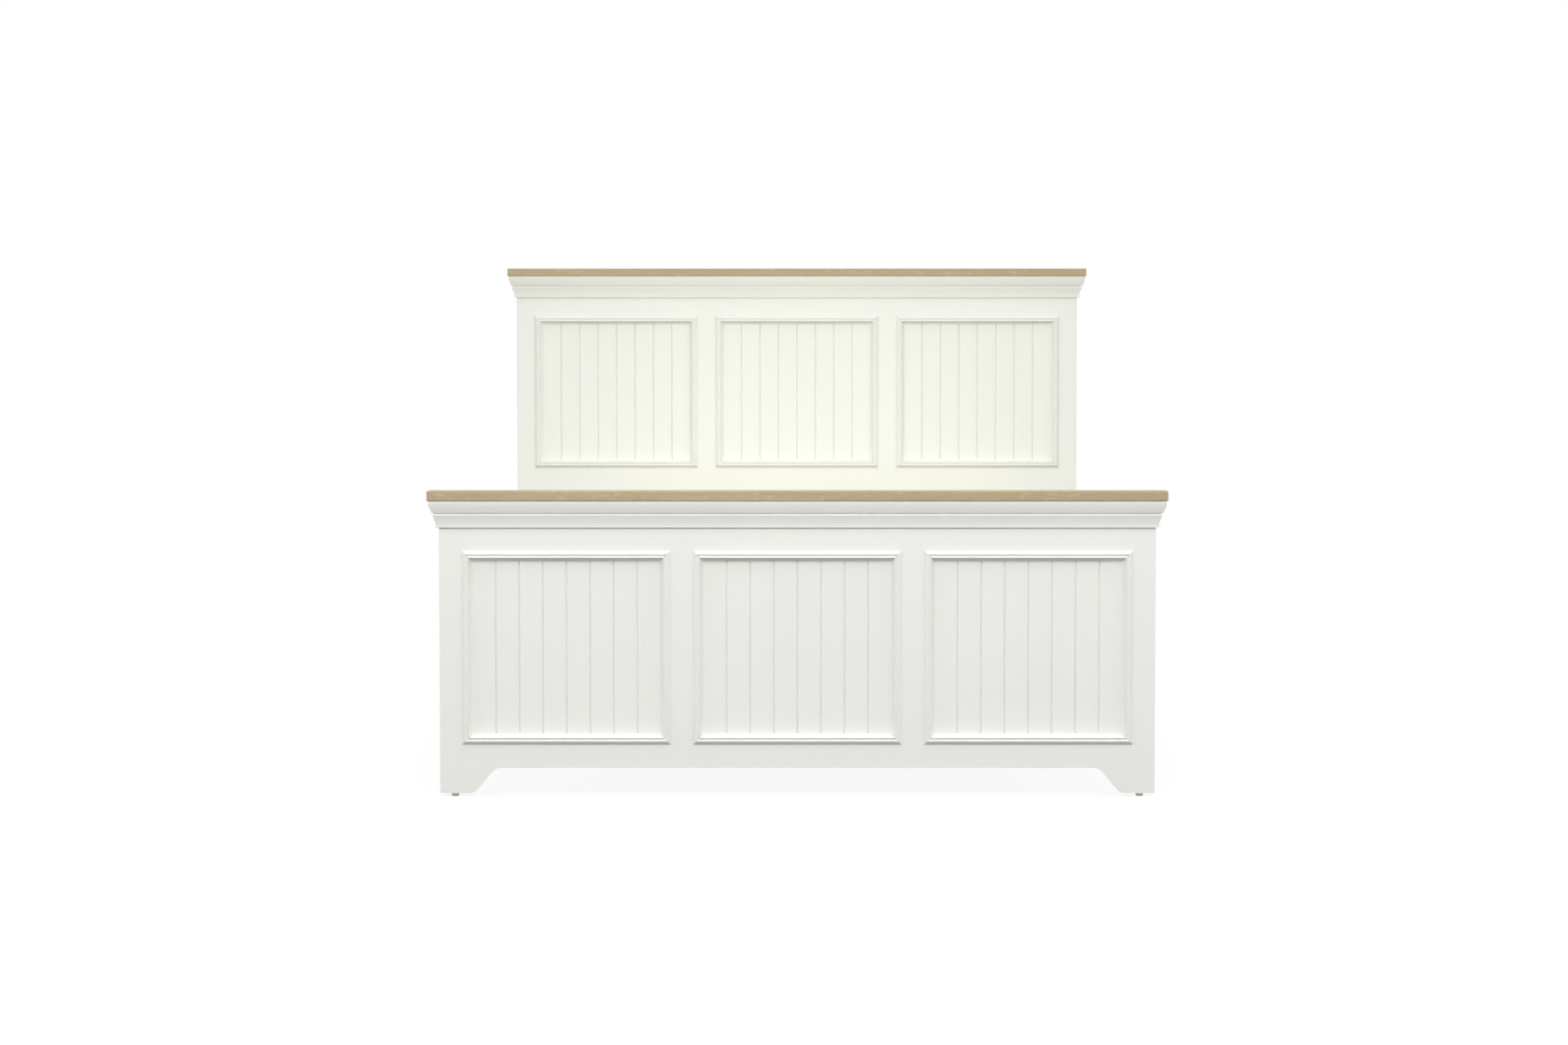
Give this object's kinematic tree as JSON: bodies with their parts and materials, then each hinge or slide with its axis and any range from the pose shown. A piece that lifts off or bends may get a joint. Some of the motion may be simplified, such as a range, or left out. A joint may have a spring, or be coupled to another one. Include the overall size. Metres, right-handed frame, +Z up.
{
  "type": "bed frame",
  "caption": "Painted wooden bedstead: panelled headboard and footboard under oak caps, side rails hung on hook plates, slatted base and screw-in levelling glides.",
  "frame": {"origin": "on the floor, at the middle of the bed's footprint", "axes": "+Z up, +Y from the foot end to the head end, +X to the right seen from the foot end"},
  "size_m": [1.67, 2.135, 1.252],
  "materials": {
    "ivory_paint": "satin ivory paint on wood",
    "oak": "pale oak, matt lacquer",
    "pine": "planed pine, unfinished",
    "beech": "turned beech, unfinished",
    "zinc_steel": "bright zinc plating",
    "nickel_steel": "satin nickel plating",
    "nylon": "natural white moulded nylon"
  },
  "bodies": {
    "bedstead": {"head_post_left": "ivory_paint", "head_post_right": "ivory_paint", "head_top_rail": "ivory_paint", "head_mid_rail": "ivory_paint", "head_low_rail": "ivory_paint", "head_muntin_left": "ivory_paint", "head_muntin_right": "ivory_paint", "head_panel_left": "ivory_paint", "head_panel_centre": "ivory_paint", "head_panel_right": "ivory_paint", "head_low_panel": "ivory_paint", "head_moulding_left": "ivory_paint", "head_moulding_centre": "ivory_paint", "head_moulding_right": "ivory_paint", "head_cornice": "ivory_paint", "head_cap": "oak", "foot_post_left": "ivory_paint", "foot_post_right": "ivory_paint", "foot_top_rail": "ivory_paint", "foot_apron": "ivory_paint", "foot_cross_rail": "pine", "foot_muntin_left": "ivory_paint", "foot_muntin_right": "ivory_paint", "foot_panel_left": "ivory_paint", "foot_panel_centre": "ivory_paint", "foot_panel_right": "ivory_paint", "foot_moulding_left": "ivory_paint", "foot_moulding_centre": "ivory_paint", "foot_moulding_right": "ivory_paint", "foot_cornice": "ivory_paint", "foot_cap": "oak", "side_rail_left": "ivory_paint", "side_rail_right": "ivory_paint", "batten_left": "pine", "batten_right": "pine", "slats": "pine", "centre_rail": "pine", "centre_leg_head": "pine", "centre_leg_foot": "pine", "centre_rail_hangers": "zinc_steel", "hook_plates": "zinc_steel", "post_plates": "zinc_steel", "plate_screws": "zinc_steel", "hanger_screws": "zinc_steel", "batten_screws": "zinc_steel", "slat_screws": "zinc_steel", "dowels": "beech", "glide_inserts": "zinc_steel"},
    "sole_foot_left": {"sole_foot_left": "nylon"},
    "glide_foot_left": {"glide_foot_left": "nickel_steel"},
    "sole_foot_right": {"sole_foot_right": "nylon"},
    "glide_foot_right": {"glide_foot_right": "nickel_steel"},
    "sole_head_left": {"sole_head_left": "nylon"},
    "glide_head_left": {"glide_head_left": "nickel_steel"},
    "sole_head_right": {"sole_head_right": "nylon"},
    "glide_head_right": {"glide_head_right": "nickel_steel"},
    "sole_centre_foot": {"sole_centre_foot": "nylon"},
    "glide_centre_foot": {"glide_centre_foot": "nickel_steel"},
    "sole_centre_head": {"sole_centre_head": "nylon"},
    "glide_centre_head": {"glide_centre_head": "nickel_steel"}
  },
  "joints": [
    {"name": "foot_left_travel", "type": "slide", "parent": "bedstead", "child": "sole_foot_left", "axis": [0, 0, -1], "range_m": [0, 0.012]},
    {"name": "foot_left_turn", "type": "hinge", "parent": "sole_foot_left", "child": "glide_foot_left", "pos_m": [-0.778, -1.02, 0], "axis": [0, 0, -1], "range_deg": [0, 3456.2]},
    {"name": "foot_right_travel", "type": "slide", "parent": "bedstead", "child": "sole_foot_right", "axis": [0, 0, -1], "range_m": [0, 0.012]},
    {"name": "foot_right_turn", "type": "hinge", "parent": "sole_foot_right", "child": "glide_foot_right", "pos_m": [0.778, -1.02, 0], "axis": [0, 0, -1], "range_deg": [0, 3456.2]},
    {"name": "head_left_travel", "type": "slide", "parent": "bedstead", "child": "sole_head_left", "axis": [0, 0, -1], "range_m": [0, 0.012]},
    {"name": "head_left_turn", "type": "hinge", "parent": "sole_head_left", "child": "glide_head_left", "pos_m": [-0.778, 1.045, 0], "axis": [0, 0, -1], "range_deg": [0, 3456.2]},
    {"name": "head_right_travel", "type": "slide", "parent": "bedstead", "child": "sole_head_right", "axis": [0, 0, -1], "range_m": [0, 0.012]},
    {"name": "head_right_turn", "type": "hinge", "parent": "sole_head_right", "child": "glide_head_right", "pos_m": [0.778, 1.045, 0], "axis": [0, 0, -1], "range_deg": [0, 3456.2]},
    {"name": "centre_foot_travel", "type": "slide", "parent": "bedstead", "child": "sole_centre_foot", "axis": [0, 0, -1], "range_m": [0, 0.012]},
    {"name": "centre_foot_turn", "type": "hinge", "parent": "sole_centre_foot", "child": "glide_centre_foot", "pos_m": [0, -0.3275, 0], "axis": [0, 0, -1], "range_deg": [0, 3456.2]},
    {"name": "centre_head_travel", "type": "slide", "parent": "bedstead", "child": "sole_centre_head", "axis": [0, 0, -1], "range_m": [0, 0.012]},
    {"name": "centre_head_turn", "type": "hinge", "parent": "sole_centre_head", "child": "glide_centre_head", "pos_m": [0, 0.3525, 0], "axis": [0, 0, -1], "range_deg": [0, 3456.2]}
  ],
  "couplings": [
    {"joint": "foot_left_turn", "follows": "foot_left_travel", "rad_per_m": 5026.5},
    {"joint": "foot_right_turn", "follows": "foot_right_travel", "rad_per_m": 5026.5},
    {"joint": "head_left_turn", "follows": "head_left_travel", "rad_per_m": 5026.5},
    {"joint": "head_right_turn", "follows": "head_right_travel", "rad_per_m": 5026.5},
    {"joint": "centre_foot_turn", "follows": "centre_foot_travel", "rad_per_m": 5026.5},
    {"joint": "centre_head_turn", "follows": "centre_head_travel", "rad_per_m": 5026.5}
  ]
}
